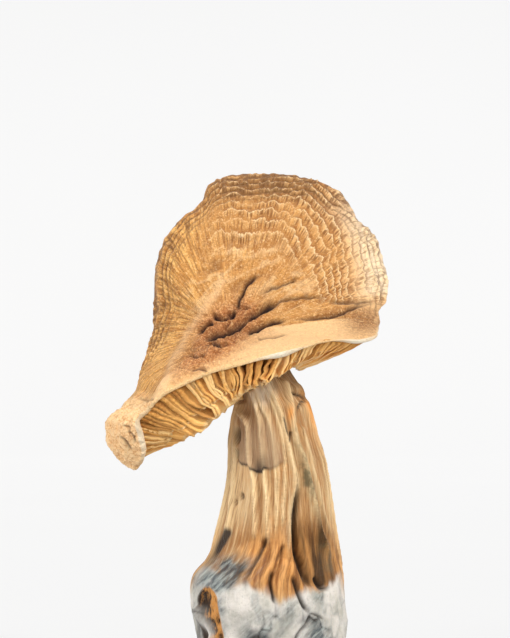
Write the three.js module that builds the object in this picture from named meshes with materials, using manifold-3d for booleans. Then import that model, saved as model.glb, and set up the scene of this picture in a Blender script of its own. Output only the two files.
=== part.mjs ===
// A dried mushroom standing on its trimmed stem: a thin cap that has dried tipped forward and down to
// the left, with its front broken away close to the stem, the gills under it, and a fluted stem with
// a swollen foot. Millimetres, +Z up, +X to the viewer's right, the viewer on the -Y side, with the
// origin at the middle of the foot's flat cut end.

import * as THREE from "three";
import { mergeVertices } from "three/addons/utils/BufferGeometryUtils.js";
import Module from "manifold-3d";

const wasm = await Module();
wasm.setup();

// Driving dimensions.
const STEM_HEIGHT = 44; // cut end to where the gills meet the stem
const FOOT_WIDTH = 23.4; // across the swollen foot
const STEM_TOP_WIDTH = 9; // across the stem where the gills meet it
const STEM_DEPTH_SHARE = 0.9; // the stem's depth, front to back, over its width
const FLUTE_DEPTH = 0.75; // of the long folds down the stem
const FLUTES = 9;
const FLUTE_TWIST = 0.35; // of a flute's width, from the cut end to the top
const BULGES = 3; // soft ones round the foot
const BULGES_END = 0.6; // in stem heights
const CAP_RADIUS = 25; // the cap's reach from the stem, which the rim's points are counted in
const FLESH_AT_CENTRE = 2.2; // cap thickness
const FLESH_AT_RIM = 0.9;
const CENTRE_SPREAD = 0.35; // how far out the cap keeps the plane of its centre, in spoke lengths
const POLE_REACH = 0.06; // the part of each spoke that takes the centre's own normal
const GILLS = 48;
const GILL_DEPTH = 6; // the deepest that a gill hangs
const GILL_WEB = 0.4; // the layer that the gills grow from
const GILL_REACH = 0.97; // how near to the cap's edge the gills run
const GILL_LEAN = 0.35; // how far a gill's place on the stem follows how high its outer end is
const BARED_SAG = 3; // how much deeper the long gills may hang for each millimetre that is bared
const GAP = 0.3; // between neighbouring pieces

// Mesh fineness.
const CAP_SPOKES = 96;
const CAP_RINGS = 11;
const GILL_RINGS = 8;
const STEM_SIDES = 54;
const STEM_STEPS = 24;

// Where the stem meets the gills, and the plane that the cap lies in there.
const STEM_TOP = new THREE.Vector3(-0.5, -0.5, STEM_HEIGHT);
const CAP_CENTRE = new THREE.Vector3(-0.23, -0.08, 0.33).multiplyScalar(CAP_RADIUS).add(STEM_TOP);
const CENTRE_SLOPE_X = 0.25;
const CENTRE_SLOPE_Y = 0.7;
const CENTRE_NORMAL = new THREE.Vector3(-CENTRE_SLOPE_X, -CENTRE_SLOPE_Y, 1).normalize();
const GILL_RING_SLOPE_X = 0.5; // the gills meet the stem lower on the left
const GILL_RING_SLOPE_Y = 0.3; // and lower at the front

// The rim, going round from the right-hand end by way of the back, in cap radii from the stem's top:
// the edge's x, y and z, the x, y and z of the shoulder that the cap bends over on its way there, and
// how deep the gills are at the edge, which is more than nothing along the broken front.
const RIM = [
  [0.67, 0.0, 0.41, 0.54, -0.06, 0.47, 0.0],
  [0.73, 0.3, 0.66, 0.67, 0.1, 0.74, 0.01],
  [0.63, 0.57, 1.02, 0.6, 0.34, 1.17, 0.01],
  [0.34, 0.76, 1.26, 0.3, 0.46, 1.47, 0.01],
  [-0.04, 0.82, 1.3, -0.08, 0.48, 1.53, 0.01],
  [-0.37, 0.74, 1.24, -0.42, 0.42, 1.41, 0.01],
  [-0.67, 0.57, 0.87, -0.66, 0.34, 0.96, 0.01],
  [-0.72, 0.44, 0.43, -0.67, 0.3, 0.5, 0.01],
  [-0.78, 0.34, 0.12, -0.8, 0.26, 0.22, 0.01],
  [-0.86, 0.14, -0.26, -1.08, 0.16, -0.01, 0.01],
  [-0.81, -0.1, -0.46, -1.29, -0.04, -0.32, 0.0],
  [-0.74, -0.28, -0.32, -1.12, -0.26, -0.28, 0.04],
  [-0.72, -0.33, -0.09, -0.68, -0.3, 0.06, 0.32],
  [-0.4, -0.37, 0.1, -0.37, -0.31, 0.19, 0.32],
  [-0.17, -0.37, 0.17, -0.18, -0.3, 0.25, 0.2],
  [0.04, -0.37, 0.23, 0.0, -0.3, 0.29, 0.16],
  [0.27, -0.34, 0.27, 0.2, -0.3, 0.32, 0.07],
  [0.58, -0.25, 0.31, 0.46, -0.24, 0.36, 0.0],
];

// The stem, from the cut end up: height in stem heights, then how far the middle is to the right in
// foot widths, and the width in foot widths. The last rows run on up into the cap, which trims them.
const STEM_ROWS = [
  [0.0, 0.0, 0.77],
  [0.07, 0.0, 0.9],
  [0.16, 0.0, 0.97],
  [0.29, -0.025, 1.0],
  [0.375, -0.025, 0.96],
  [0.43, 0.005, 0.87],
  [0.495, 0.03, 0.79],
  [0.63, 0.045, 0.68],
  [0.73, 0.045, 0.615],
  [0.835, 0.025, 0.56],
  [0.9, 0.016, 0.51],
];
const STEM_NECK = 0.955; // above this the width is the top's own

const mix = (a, b, t) => a + (b - a) * t;

// ---------------------------------------------------------------- the cap's surface

const inCap = (x, y, z) => new THREE.Vector3(x, y, z).multiplyScalar(CAP_RADIUS).add(STEM_TOP);
const smoothLoop = (points) => new THREE.CatmullRomCurve3(points, true, "catmullrom", 0.5);

const rim = smoothLoop(RIM.map(([x, y, z]) => inCap(x, y, z)));
const shoulder = smoothLoop(RIM.map(([, , , x, y, z]) => inCap(x, y, z)));
const baredGill = smoothLoop(RIM.map((row) => new THREE.Vector3(row[6] * CAP_RADIUS, 0, 0)));

// A point on the cap's top: turn goes round the rim and reach from the centre, 0, to the edge, 1.
function capTop(turn, reach) {
  const edge = rim.getPoint(turn);
  const bend = shoulder.getPoint(turn);
  const lead = bend.clone().sub(CAP_CENTRE).projectOnPlane(CENTRE_NORMAL)
    .setLength(edge.distanceTo(CAP_CENTRE) * CENTRE_SPREAD).add(CAP_CENTRE);
  return new THREE.CubicBezierCurve3(CAP_CENTRE, lead, bend, edge).getPoint(reach);
}

function capNormal(turn, reach) {
  const step = 0.012;
  const at = Math.max(reach, POLE_REACH);
  const along = capTop(turn, at + step).sub(capTop(turn, at - step));
  const across = capTop((turn + step) % 1, at).sub(capTop((turn + 1 - step) % 1, at));
  const normal = along.cross(across).normalize();
  const pole = Math.max(0, 1 - reach / POLE_REACH);
  return normal.lerp(CENTRE_NORMAL, pole).normalize();
}

// A point below the top by the flesh and a further distance.
function underCap(turn, reach, further = 0) {
  const flesh = mix(FLESH_AT_CENTRE, FLESH_AT_RIM, Math.sqrt(reach));
  return capTop(turn, reach).addScaledVector(capNormal(turn, reach), -flesh - further);
}

// ---------------------------------------------------------------- meshes from grids of points

// A closed solid between two sheets of points, upper(turn, step) and lower(turn, step), that run out
// from step 0 to step 1. A sheet that starts at one point closes there, and otherwise the two sheets
// are joined by an inner wall as they are at the edge.
function sheetSolid(spokes, rings, upper, lower, startsAtPoint) {
  const loop = [];
  for (let ring = 0; ring <= rings; ring++) loop.push((turn) => upper(turn, ring / rings));
  for (let ring = rings; ring >= 0; ring--) loop.push((turn) => lower(turn, ring / rings));
  return loopSolid(spokes, loop, startsAtPoint);
}

// A closed solid swept round by a list of points that move with turn. Its first and last points are
// poles, which don't move, or else its last point joins its first.
function loopSolid(spokes, loop, poles) {
  const rows = poles ? loop.slice(1, -1) : loop;
  const positions = [];
  for (const point of rows)
    for (let spoke = 0; spoke < spokes; spoke++) positions.push(...point(spoke / spokes).toArray());
  const triangles = [];
  const at = (row, spoke) => (row % rows.length) * spokes + (spoke % spokes);
  const lastJoin = poles ? rows.length - 1 : rows.length;
  for (let row = 0; row < lastJoin; row++)
    for (let spoke = 0; spoke < spokes; spoke++)
      triangles.push(
        at(row, spoke), at(row + 1, spoke), at(row + 1, spoke + 1),
        at(row, spoke), at(row + 1, spoke + 1), at(row, spoke + 1));
  if (poles) {
    const first = positions.length / 3;
    positions.push(...loop[0](0).toArray(), ...loop.at(-1)(0).toArray());
    for (let spoke = 0; spoke < spokes; spoke++)
      triangles.push(
        first, at(0, spoke), at(0, spoke + 1),
        first + 1, at(rows.length - 1, spoke + 1), at(rows.length - 1, spoke));
  }
  const geometry = new THREE.BufferGeometry();
  geometry.setAttribute("position", new THREE.Float32BufferAttribute(positions, 3));
  geometry.setIndex(triangles);
  return geometry;
}

function toSolid(geometry) {
  const bare = new THREE.BufferGeometry().setAttribute("position", geometry.getAttribute("position"));
  bare.setIndex(geometry.getIndex());
  const merged = mergeVertices(bare, 1e-4);
  return new wasm.Manifold(new wasm.Mesh({
    numProp: 3,
    vertProperties: merged.attributes.position.array,
    triVerts: new Uint32Array(merged.index.array),
  }));
}

function toGeometry(solid) {
  const mesh = solid.getMesh();
  const geometry = new THREE.BufferGeometry();
  geometry.setAttribute("position", new THREE.BufferAttribute(mesh.vertProperties, 3));
  geometry.setIndex(new THREE.BufferAttribute(mesh.triVerts, 1));
  geometry.computeVertexNormals();
  return geometry;
}

// ---------------------------------------------------------------- the stem

const stemLine = new THREE.CatmullRomCurve3([
  ...STEM_ROWS.map(([height, right, width]) =>
    new THREE.Vector3(right * FOOT_WIDTH, width * FOOT_WIDTH, height * STEM_HEIGHT)),
  new THREE.Vector3(STEM_TOP.x + 0.7, STEM_TOP_WIDTH * 1.17, STEM_NECK * STEM_HEIGHT),
  new THREE.Vector3(STEM_TOP.x, STEM_TOP_WIDTH, STEM_HEIGHT),
  new THREE.Vector3(STEM_TOP.x - 2, STEM_TOP_WIDTH * 0.9, STEM_HEIGHT + 6),
  new THREE.Vector3(STEM_TOP.x - 4, STEM_TOP_WIDTH * 0.9, CAP_CENTRE.z + 0.3 * CAP_RADIUS),
], false, "centripetal");

// A point on the stem's outside, grown by some distance: turn goes round it and climb up it.
function stemSide(turn, climb, grown = 0) {
  const { x: right, y: width, z: height } = stemLine.getPoint(climb);
  const share = height / STEM_HEIGHT;
  const folds = Math.sin((turn * FLUTES + FLUTE_TWIST * share) * 2 * Math.PI) * Math.min(1, 1.3 * share);
  const bulges = Math.sin((turn * BULGES + 0.2) * 2 * Math.PI) * Math.max(0, BULGES_END - share);
  const radius = width / 2 + (folds + bulges) * FLUTE_DEPTH / 2 + grown;
  const angle = turn * 2 * Math.PI;
  const back = mix(0, STEM_TOP.y, Math.min(1, share));
  return new THREE.Vector3(
    right + radius * Math.cos(angle),
    back + radius * STEM_DEPTH_SHARE * Math.sin(angle),
    height);
}

function stemSolid(grown) {
  const loop = [() => new THREE.Vector3(0, 0, 0)];
  for (let step = 0; step <= STEM_STEPS; step++)
    loop.push((turn) => stemSide(turn, step / STEM_STEPS, grown));
  const top = stemLine.getPoint(1);
  loop.push(() => new THREE.Vector3(top.x, STEM_TOP.y, top.z));
  return toSolid(loopSolid(STEM_SIDES, loop.reverse(), true));
}

// Everything from the gap under the cap upwards, which trims the stem.
function aboveStem() {
  const reachOver = 0.5;
  const rise = new THREE.Vector3(0, 0, 1.2 * CAP_RADIUS);
  return toSolid(sheetSolid(CAP_SPOKES / 2, CAP_RINGS,
    (turn, step) => underCap(turn, step * reachOver, GAP).add(rise),
    (turn, step) => underCap(turn, step * reachOver, GAP), true));
}

// ---------------------------------------------------------------- the gills

// Where the gills' free edges meet the stem.
function gillRing(turn) {
  const out = rim.getPoint(turn).sub(STEM_TOP);
  const angle = Math.atan2(out.y + out.z * GILL_LEAN, out.x);
  const radius = STEM_TOP_WIDTH / 2 - GAP;
  const x = radius * Math.cos(angle);
  const y = radius * Math.sin(angle) * STEM_DEPTH_SHARE;
  return new THREE.Vector3(x, y, GILL_RING_SLOPE_X * x + GILL_RING_SLOPE_Y * y).add(STEM_TOP);
}

function gillReach(turn, step) {
  const spoke = rim.getPoint(turn).sub(CAP_CENTRE);
  const ring = gillRing(turn).sub(CAP_CENTRE);
  const start = THREE.MathUtils.clamp(ring.dot(spoke) / spoke.lengthSq(), POLE_REACH, 0.5);
  return mix(start, GILL_REACH, step);
}

const gillRoot = (turn, step) => underCap(turn, gillReach(turn, step));

// The gills run straight from the stem to their outer ends, but the long ones sag less than that.
function gillEdge(turn, step) {
  const bared = baredGill.getPoint(turn).x;
  const end = underCap(turn, GILL_REACH, GAP + GILL_WEB);
  end.z -= bared;
  const root = gillRoot(turn, step);
  const drop = gillRing(turn).lerp(end, step).sub(root);
  const most = GILL_DEPTH + BARED_SAG * bared;
  return root.addScaledVector(drop, 1 / Math.hypot(1, drop.length() / most));
}

// Each gill takes four spokes: two along its root and two along its free edge.
function gillUnder(turn, step) {
  const spoke = Math.round(turn * GILLS * 4) % 4;
  return spoke < 2 ? underCap(turn, gillReach(turn, step), GAP + GILL_WEB) : gillEdge(turn, step);
}

// ---------------------------------------------------------------- the mushroom

const named = (name, geometry, color, roughness) => {
  const mesh = new THREE.Mesh(geometry, new THREE.MeshStandardMaterial({ color, roughness, metalness: 0 }));
  mesh.name = name;
  return mesh;
};

// The cap, grown by some distance below and past its edge.
function capSolid(grown) {
  const past = 1 + grown / CAP_RADIUS;
  return sheetSolid(CAP_SPOKES, CAP_RINGS,
    (turn, step) => capTop(turn, step * past),
    (turn, step) => underCap(turn, step * past, grown), true);
}

const cap = capSolid(0);
const gills = toSolid(sheetSolid(GILLS * 4, GILL_RINGS, gillRoot, gillUnder, false))
  .subtract(stemSolid(GAP))
  .subtract(toSolid(capSolid(GAP)));
const stem = stemSolid(0).subtract(aboveStem());

const mushroom = new THREE.Group();
mushroom.add(
  named("cap", cap, 0xd0995a, 0.85),
  named("gills", toGeometry(gills), 0xcf9a55, 0.9),
  named("stem", toGeometry(stem), 0xdcc39c, 0.8),
);

export default mushroom;
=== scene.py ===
"""The looks of a dried mushroom that stands on its trimmed stem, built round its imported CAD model.

Shapes are worked out in millimetres in the model's own frame: +X to the viewer's right, +Y away from
the viewer, +Z up from the foot's cut end. Each piece turns to metres as it is made. A turn of 0 to 1
goes round the cap or the stem from the right-hand side by way of the back.
"""
import itertools
import math

import bpy
import numpy as np
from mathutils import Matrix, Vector


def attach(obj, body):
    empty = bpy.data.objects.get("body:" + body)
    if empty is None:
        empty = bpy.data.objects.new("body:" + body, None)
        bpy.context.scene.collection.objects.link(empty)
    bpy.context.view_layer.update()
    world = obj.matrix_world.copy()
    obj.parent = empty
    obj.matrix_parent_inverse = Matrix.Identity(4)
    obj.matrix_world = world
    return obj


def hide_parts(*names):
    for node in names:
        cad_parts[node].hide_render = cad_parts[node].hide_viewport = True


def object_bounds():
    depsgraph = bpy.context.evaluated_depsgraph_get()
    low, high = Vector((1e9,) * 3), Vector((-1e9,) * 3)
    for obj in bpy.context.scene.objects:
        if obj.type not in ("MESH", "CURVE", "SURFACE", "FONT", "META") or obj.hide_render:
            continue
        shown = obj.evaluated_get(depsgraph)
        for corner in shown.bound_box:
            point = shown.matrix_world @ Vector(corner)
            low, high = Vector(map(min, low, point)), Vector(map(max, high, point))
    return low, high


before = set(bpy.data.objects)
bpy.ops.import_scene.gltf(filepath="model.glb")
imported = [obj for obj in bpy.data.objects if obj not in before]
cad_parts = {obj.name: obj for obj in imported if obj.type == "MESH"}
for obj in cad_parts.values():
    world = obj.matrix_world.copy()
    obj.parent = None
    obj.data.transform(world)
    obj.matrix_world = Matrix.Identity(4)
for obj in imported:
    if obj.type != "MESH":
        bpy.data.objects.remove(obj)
cad_low, cad_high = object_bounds()

DESIGN_HEIGHT = 77.44
MM = (cad_high.z - cad_low.z) / DESIGN_HEIGHT  # one design millimetre, in metres

# ------------------------------------------------------------------ the design, as the CAD has it

CAP_RADIUS = 25.0
STEM_HEIGHT = 44.0
STEM_TOP_WIDTH = 9.0
STEM_DEPTH_SHARE = 0.9
FOOT_WIDTH = 23.4
FLESH_AT_CENTRE = 2.2
FLESH_AT_RIM = 0.9
CENTRE_SPREAD = 0.35
POLE_REACH = 0.06
STEM_TOP = np.array([-0.5, -0.5, STEM_HEIGHT])
CAP_CENTRE = STEM_TOP + CAP_RADIUS * np.array([-0.23, -0.08, 0.33])
CENTRE_SLOPE = np.array([0.25, 0.7])
CENTRE_NORMAL = np.array([-0.25, -0.7, 1.0]) / math.hypot(0.25, 0.7, 1.0)

# The rim from the right-hand end round by way of the back: the edge, the shoulder before it, and how
# deep the gills are at the edge, all in cap radii from the stem's top.
RIM = np.array([
    [0.67, 0.0, 0.41, 0.54, -0.06, 0.47, 0.0],
    [0.73, 0.3, 0.66, 0.67, 0.1, 0.74, 0.01],
    [0.63, 0.57, 1.02, 0.6, 0.34, 1.17, 0.01],
    [0.34, 0.76, 1.26, 0.3, 0.46, 1.47, 0.01],
    [-0.04, 0.82, 1.3, -0.08, 0.48, 1.53, 0.01],
    [-0.37, 0.74, 1.24, -0.42, 0.42, 1.41, 0.01],
    [-0.67, 0.57, 0.87, -0.66, 0.34, 0.96, 0.01],
    [-0.72, 0.44, 0.43, -0.67, 0.3, 0.5, 0.01],
    [-0.78, 0.34, 0.12, -0.8, 0.26, 0.22, 0.01],
    [-0.86, 0.14, -0.26, -1.08, 0.16, -0.01, 0.01],
    [-0.81, -0.1, -0.46, -1.29, -0.04, -0.32, 0.0],
    [-0.74, -0.28, -0.32, -1.12, -0.26, -0.28, 0.04],
    [-0.72, -0.33, -0.09, -0.68, -0.3, 0.06, 0.32],
    [-0.4, -0.37, 0.1, -0.37, -0.31, 0.19, 0.32],
    [-0.17, -0.37, 0.17, -0.18, -0.3, 0.25, 0.2],
    [0.04, -0.37, 0.23, 0.0, -0.3, 0.29, 0.16],
    [0.27, -0.34, 0.27, 0.2, -0.3, 0.32, 0.07],
    [0.58, -0.25, 0.31, 0.46, -0.24, 0.36, 0.0],
])
EDGE = STEM_TOP + CAP_RADIUS * RIM[:, 0:3]
BEND = STEM_TOP + CAP_RADIUS * RIM[:, 3:6]
BARED_GILL = CAP_RADIUS * RIM[:, 6:7]
# Rows of the rim: the tip of the lobe, where the gills fan out beside it, and over the stem.
LOBE_ROW, FAN_ROW, STEM_ROW = 11.2, 12.0, 14.6
TORN_LUMPS = 1.2, 12.9  # how far across two thick torn lumps are, on the front edge

# The stem: height, how far its middle is to the right, and its width.
STEM_ROWS = np.array([
    [0.0, 0.0, 0.77],
    [0.07, 0.0, 0.9],
    [0.16, 0.0, 0.97],
    [0.29, -0.025, 1.0],
    [0.375, -0.025, 0.96],
    [0.43, 0.005, 0.87],
    [0.495, 0.03, 0.79],
    [0.63, 0.045, 0.68],
    [0.73, 0.045, 0.615],
    [0.835, 0.025, 0.56],
    [0.9, 0.016, 0.51],
]) * [STEM_HEIGHT, FOOT_WIDTH, FOOT_WIDTH]
STEM_ROWS = np.vstack([
    STEM_ROWS,
    [0.955 * STEM_HEIGHT, STEM_TOP[0] + 0.7, STEM_TOP_WIDTH * 1.17],
    [STEM_HEIGHT, STEM_TOP[0], STEM_TOP_WIDTH],
    [STEM_HEIGHT + 6, STEM_TOP[0] - 2, STEM_TOP_WIDTH * 0.9],
    [STEM_HEIGHT + 16, STEM_TOP[0] - 4, STEM_TOP_WIDTH * 0.9],
])

# Where the viewer's eye is, and the height that the picture covers in the plane y = 0.
EYE = np.array([-2.55, -450.0, 54.9])
VIEW_HEIGHT = 95.7


# ------------------------------------------------------------------ small sums on arrays

def mix(a, b, t):
    return a + (b - a) * t


def step(low, high, x):
    """0 up to low, 1 from high, and smooth between. low may be the larger."""
    t = np.clip((x - low) / (high - low), 0, 1)
    return t * t * (3 - 2 * t)


def bump(x, width):
    """1 at 0, falling smoothly to nothing a few widths away."""
    return np.exp(-(x / width) ** 2)


def spot(u, v, across, up, half_width, half_height, lean=0.0):
    """A soft spot, 1 at its middle, that leans to the left as it climbs."""
    return bump(u - across + (v - up) * lean, half_width) * bump(v - up, half_height)


def spots(u, v, table):
    return sum(strength * spot(u, v, *shape) for strength, *shape in table)


def unit(vectors):
    return vectors / np.maximum(np.linalg.norm(vectors, axis=-1, keepdims=True), 1e-12)


def random_at(cell, seed):
    """A fixed random number of -1 to 1 for each row of whole numbers."""
    h = (cell[..., 0] * 73856093) ^ (cell[..., 1] * 19349663) ^ (cell[..., 2] * 83492791)
    h = (h ^ (seed * 2654435761)) & 0xFFFFFFFF
    h = ((h ^ (h >> 15)) * 2246822519) & 0xFFFFFFFF
    h = ((h ^ (h >> 13)) * 3266489917) & 0xFFFFFFFF
    return ((h ^ (h >> 16)) & 0xFFFFFF) / 0x7FFFFF - 1


def random_for(number, use, seed):
    """A fixed random number of -1 to 1 for one numbered thing and one use of it."""
    return random_at(np.array([[number, use, 1]]), seed)[0]


def noise(seed, *axes):
    """Smooth random values of about -1 to 1 over one to three coordinates."""
    axes = np.broadcast_arrays(*axes, *[0.5] * (3 - len(axes)))
    points = np.stack(axes, axis=-1)
    cell = np.floor(points).astype(np.int64)
    part = points - cell
    fade = part ** 3 * (part * (part * 6 - 15) + 10)
    total = 0
    for corner in itertools.product((0, 1), repeat=3):
        weight = np.where(np.array(corner), fade, 1 - fade).prod(axis=-1)
        total = total + weight * random_at(cell + np.array(corner), seed)
    return total


def rough(seed, octaves, *axes):
    """Noise with finer and finer noise on it."""
    total, size = 0, 1.0
    for octave in range(octaves):
        total = total + size * noise(seed + octave, *[a * 2.03 ** octave + 7.3 * octave for a in axes])
        size *= 0.5
    return total / 1.6


def folds(seed, octaves, *axes):
    """Sharp ridges, 1, between soft hollows, near 0."""
    return np.clip(1 - 1.7 * np.abs(rough(seed, octaves, *axes)), 0, 1)


def smooth_line(points, samples):
    """Points along a smooth open line through the given ones."""
    points = np.array(points, float)
    padded = np.concatenate([[2 * points[0] - points[1]], points, [2 * points[-1] - points[-2]]])
    place = np.linspace(0, len(points) - 1 - 1e-9, samples)
    first = place.astype(int)
    return spline(padded, first, (place - first)[:, None], len(padded))


def spline(points, first, t, count):
    """The smooth line between points first + 1 and first + 2, at shares t of the way."""
    a, b, c, d = (points[(first + k) % count] for k in range(4))
    return b + t * (c - a) / 2 + t ** 2 * (a - 2.5 * b + 2 * c - d / 2) + t ** 3 * (d - a + 3 * (b - c)) / 2


def loop_curve(points, turn):
    """A closed smooth curve through points, at turns of 0 to 1."""
    count = len(points)
    place = np.mod(turn, 1) * count
    first = np.floor(place).astype(int)
    return spline(points, first + count - 1, (place - first)[..., None], count)


def front(points):
    """Where points are in the viewer's picture, in millimetres across and up in the plane y = 0."""
    near = EYE[1] / (EYE[1] - points[..., 1])
    return EYE[0] + (points[..., 0] - EYE[0]) * near, EYE[2] + (points[..., 2] - EYE[2]) * near


def beside_line(u, v, points):
    """For each (u, v): its distance to a smooth line, positive on the line's left, and how far along."""
    line = smooth_line(points, 90)
    ahead = unit(np.gradient(line, axis=0))
    flat = np.stack([u.ravel(), v.ravel()], axis=1)
    nearest = np.concatenate([
        ((part[:, None, :] - line) ** 2).sum(axis=2).argmin(axis=1) for part in np.array_split(flat, 40)])
    off = flat - line[nearest]
    side = ahead[nearest, 0] * off[:, 1] - ahead[nearest, 1] * off[:, 0]
    distance = np.hypot(off[:, 0], off[:, 1]) * np.where(side < 0, -1, 1)
    return distance.reshape(u.shape), (nearest / (len(line) - 1)).reshape(u.shape)


# ------------------------------------------------------------------ meshes

def make_mesh(name, points, faces, attributes):
    """A smooth-shaded object from millimetre points. Each attribute is a number or vector a vertex."""
    mesh = bpy.data.meshes.new(name)
    mesh.from_pydata((points * MM).tolist(), [], [face.tolist() for block in faces for face in block])
    for label, values in attributes.items():
        kind = "FLOAT" if values.ndim == 1 else "FLOAT_VECTOR"
        layer = mesh.attributes.new(label, kind, "POINT")
        layer.data.foreach_set("value" if values.ndim == 1 else "vector", values.astype(np.float32).ravel())
    mesh.shade_smooth()
    mesh.update()
    piece = bpy.data.objects.new(name, mesh)
    bpy.context.scene.collection.objects.link(piece)
    return piece


def ring_faces(rows, columns, closed=True):
    """Faces between rows of points: an array of four corners a face."""
    last = columns if closed else columns - 1
    row, column = np.meshgrid(np.arange(rows - 1), np.arange(last), indexing="ij")
    after = (column + 1) % columns
    corners = [row * columns + column, (row + 1) * columns + column,
               (row + 1) * columns + after, row * columns + after]
    return np.stack(corners, axis=-1).reshape(-1, 4)


def fan_faces(ring, pole, outward):
    """Triangles from a ring of point numbers to a pole."""
    after = np.roll(ring, -1)
    middle = np.full_like(ring, pole)
    return np.stack([middle, ring, after] if outward else [middle, after, ring], axis=1)


# ------------------------------------------------------------------ the cap's surface

def cap_top(turn, reach):
    """The plain skin of the cap: at each turn a curve from the centre, reach 0, to the rim, reach 1."""
    edge = loop_curve(EDGE, turn)
    bend = loop_curve(BEND, turn)
    lead = bend - CAP_CENTRE
    lead = unit(lead - (lead @ CENTRE_NORMAL)[..., None] * CENTRE_NORMAL)
    lead = CAP_CENTRE + lead * CENTRE_SPREAD * np.linalg.norm(edge - CAP_CENTRE, axis=-1, keepdims=True)
    r = reach[..., None]
    place = (1 - r) ** 3 * CAP_CENTRE + 3 * (1 - r) ** 2 * r * lead
    place = place + 3 * (1 - r) * r ** 2 * bend + r ** 3 * edge
    # The lobe at the lower left is rounder than that, with a neck above it.
    u, v = front(place)
    lobe = 1.3 * bump(v - 43.9, 2.0) - 0.7 * bump(v - 39.7, 1.5) + 0.8 * bump(v - 33.2, 1.6)
    lobe = lobe + 0.5 * bump(v - 41.6, 1.0) + 0.5 * bump(v - 35.1, 1.1)
    shift = lobe * step(-16.0, -21.0, u)
    # Its two upper corners are cut off a little, and the right-hand end has a notch.
    left_corner = spot(u, v, -12.2, 72.8, 2.6, 2.8)
    right_corner = spot(u, v, 13.6, 70.8, 2.5, 2.8)
    shift = shift + 1.1 * left_corner - 0.6 * right_corner
    shift = shift + 0.4 * bump(v - 52.5, 3.0) * step(-14.5, -17.5, u)
    shift = shift + step(12.5, 15.5, u) * (0.4 * bump(v - 51.9, 0.9) - 0.8 * bump(v - 56.0, 0.9))
    # The front edge is a little higher towards its right-hand end.
    row = np.mod(turn, 1) * len(RIM)
    lift = 0.75 * bump(u - 9.0, 4.6) * step(0.5, 1.0, reach) * step(14.6, 15.6, row)
    lift = lift - 0.6 * left_corner - 0.9 * right_corner
    return place + np.stack([shift, 0 * shift, lift], axis=-1)


def cap_normal(turn, reach):
    gap = 0.006
    at = np.maximum(reach, POLE_REACH)
    outward = cap_top(turn, at + gap) - cap_top(turn, at - gap)
    across = cap_top(turn + gap, at) - cap_top(turn - gap, at)
    normal = unit(np.cross(outward, across))
    pole = np.clip(1 - reach / POLE_REACH, 0, 1)[..., None]
    return unit(mix(normal, CENTRE_NORMAL, pole))


def rim_flesh(turn):
    """How thick the flesh is at the rim: thin along the broken front but for two torn lumps."""
    row = np.mod(turn, 1) * len(RIM)
    across = front(loop_curve(EDGE, turn))[0]
    torn = 0.34 + 0.12 * noise(84, across * 0.9)
    torn = torn + 0.75 * bump(across - TORN_LUMPS[0], 2.4) + 0.5 * bump(across - TORN_LUMPS[1], 2.2)
    lobe = 0.75 * bump(row - LOBE_ROW, 0.55)
    return mix(FLESH_AT_RIM * 0.7, torn, step(11.0, 12.0, row) * step(18.0, 17.8, row)) + lobe


def flesh_depth(turn, reach):
    """How thick the flesh is between the centre and the rim."""
    return mix(FLESH_AT_CENTRE, rim_flesh(turn), np.sqrt(reach))


def under_cap(turn, reach, further=0.0):
    """The underside of the flesh, or a surface further down."""
    flesh = flesh_depth(turn, reach) + further
    return cap_top(turn, reach) - cap_normal(turn, reach) * flesh[..., None]


# Creases in the cap's skin, seen from the front: the line, its depth and its half width.
CREASES = [
    ([(-10.4, 51.7), (-8.9, 52.2), (-5.2, 53.5), (-2.4, 55.4), (-0.5, 56.7), (1.6, 57.4)], 1.3, 0.42),
    ([(-0.5, 56.8), (1.6, 57.5), (5.1, 58.1), (8.2, 58.2)], 0.4, 0.22),
    ([(8.0, 57.6), (11.6, 57.3), (15.8, 57.5)], 0.35, 0.3),
    ([(-4.0, 52.4), (-2.6, 53.0), (-1.2, 53.7), (0.2, 54.3), (2.3, 54.7)], 1.0, 0.34),
    ([(-2.3, 51.8), (-1.2, 52.0), (0.6, 52.2), (2.4, 52.7)], 0.45, 0.2),
    ([(2.6, 54.9), (6.4, 55.0), (9.4, 55.4), (12.2, 56.5), (15.4, 57.4)], 0.5, 0.26),
    ([(-5.1, 56.2), (-4.9, 57.6), (-3.8, 59.9), (-1.8, 61.8)], 0.6, 0.26),
    ([(-2.2, 58.3), (1.6, 59.9), (4.2, 61.0)], 0.4, 0.24),
    ([(-9.0, 56.0), (-7.9, 54.8), (-6.2, 55.2), (-5.2, 56.6)], 0.8, 0.32),
    ([(-11.4, 52.4), (-9.8, 53.8), (-8.6, 54.2)], 0.8, 0.3),
    ([(-9.8, 50.6), (-8.8, 51.0), (-7.4, 50.6), (-6.6, 51.4)], 0.6, 0.26),
    ([(-13.2, 48.4), (-12.0, 48.9), (-10.8, 48.8), (-9.6, 49.6)], 0.6, 0.22),
    ([(-12.4, 46.9), (-10.8, 47.2), (-9.4, 46.8)], 0.35, 0.2),
    ([(-20.2, 43.2), (-18.6, 42.6), (-17.6, 43.0)], 0.2, 0.22),
    ([(-23.0, 37.4), (-21.8, 36.4), (-21.0, 35.0)], 0.4, 0.18),
    ([(-21.8, 38.4), (-20.9, 37.4), (-20.4, 36.2)], 0.35, 0.18),
    ([(-22.6, 39.0), (-21.7, 38.8), (-21.2, 37.9)], 0.25, 0.15),
]
PALE_RIDGE = [(-17.0, 42.5), (-15.6, 46.2), (-14.0, 50.2), (-12.1, 53.3), (-10.4, 55.7), (-8.7, 58.3),
              (-7.0, 60.7), (-6.1, 62.4)]
PIT = -7.4, 53.4  # the middle of the crumpled pit
RED_RUN = [(-4.5, 55.0), (-7.5, 52.9), (-9.4, 50.0), (-11.6, 46.6), (-12.6, 44.6)]


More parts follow.
